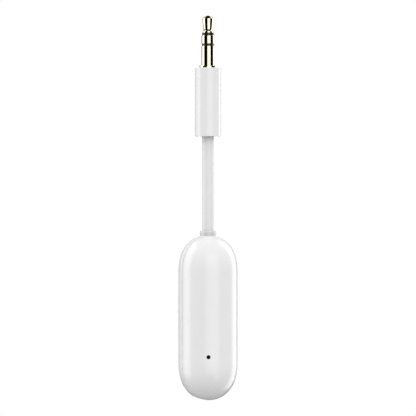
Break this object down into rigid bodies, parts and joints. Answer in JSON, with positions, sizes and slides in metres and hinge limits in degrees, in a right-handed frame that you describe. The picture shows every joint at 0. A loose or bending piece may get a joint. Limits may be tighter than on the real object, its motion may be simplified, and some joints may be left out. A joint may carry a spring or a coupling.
{
  "type": "bluetooth audio receiver",
  "caption": "White capsule-shaped wireless audio receiver with a short cable and a gold three-pole 3.5 mm plug, microphone hole, side button and charging socket.",
  "frame": {"origin": "on the plug's axis, at the upper face of the collar under the plug's contacts", "axes": "+Z out of the plug's tip, along the plug, the cable and the capsule; -Y out of the front cover; +X towards the side button"},
  "size_m": [0.0159, 0.0158, 0.1025],
  "materials": {
    "gold_contact": "polished pale gold plating",
    "black_insulator": "smooth moulded",
    "white_sleeve": "moulded",
    "white_plastic": "gloss, very light moulding texture",
    "white_cable": "satin elastomer jacket",
    "green_wire": "extruded",
    "red_wire": "extruded",
    "black_wire": "extruded",
    "copper_wire": "enamelled strands",
    "green_board": "solder resist over glass fibre",
    "chip_resin": "moulded resin",
    "bright_metal": "plated sheet",
    "ferrite": "sintered",
    "white_ceramic": "fired",
    "tantalum_yellow": "moulded resin",
    "tan_ceramic": "fired",
    "pouch_foil": "laminated foil",
    "white_tape": "tissue tape",
    "grey_foam": "closed-cell foam",
    "black_rubber": "moulded",
    "dark_mesh": "woven acoustic mesh",
    "grey_plastic": "moulded",
    "clear_plastic": "polished clear acrylic"
  },
  "bodies": {
    "receiver": {"jack_tip": "gold_contact", "tip_insulator": "black_insulator", "jack_ring": "gold_contact", "ring_insulator": "black_insulator", "jack_sleeve": "gold_contact", "plug_inner_sleeve": "white_sleeve", "plug_grip": "white_plastic", "cable_jacket": "white_cable", "left_wire": "green_wire", "right_wire": "red_wire", "ground_wire": "copper_wire", "cable_gland": "white_cable", "front_cover": "white_plastic", "rear_shell": "white_plastic", "circuit_board": "green_board", "bluetooth_chip": "chip_resin", "flash_chip": "chip_resin", "charger_chip": "chip_resin", "crystal": "bright_metal", "power_inductor": "ferrite", "chip_antenna": "white_ceramic", "audio_capacitors": "tantalum_yellow", "ceramic_capacitors": "tan_ceramic", "chip_resistors": "chip_resin", "battery_cell": "pouch_foil", "battery_tape": "white_tape", "battery_foam": "grey_foam", "battery_guard_board": "green_board", "battery_plus_wire": "red_wire", "battery_minus_wire": "black_wire", "microphone_capsule": "bright_metal", "microphone_boot": "black_rubber", "microphone_mesh": "dark_mesh", "microphone_leads": "bright_metal", "switch_case": "black_insulator", "switch_leaf_spring": "bright_metal", "switch_terminals": "bright_metal", "usb_shell": "bright_metal", "usb_insulator": "black_insulator", "usb_contacts": "gold_contact", "status_led": "white_ceramic", "light_pipe": "clear_plastic"},
    "button": {"side_button": "white_plastic"},
    "plunger": {"switch_plunger": "grey_plastic"}
  },
  "joints": [
    {"name": "button_press", "type": "slide", "parent": "receiver", "child": "button", "axis": [-1, 0, 0], "range_m": [0, 0.00025], "stiffness_N_per_m": 6000},
    {"name": "plunger_travel", "type": "slide", "parent": "receiver", "child": "plunger", "axis": [-1, 0, 0], "range_m": [0, 0.00025]}
  ],
  "couplings": [
    {"joint": "plunger_travel", "follows": "button_press", "ratio": 1}
  ]
}
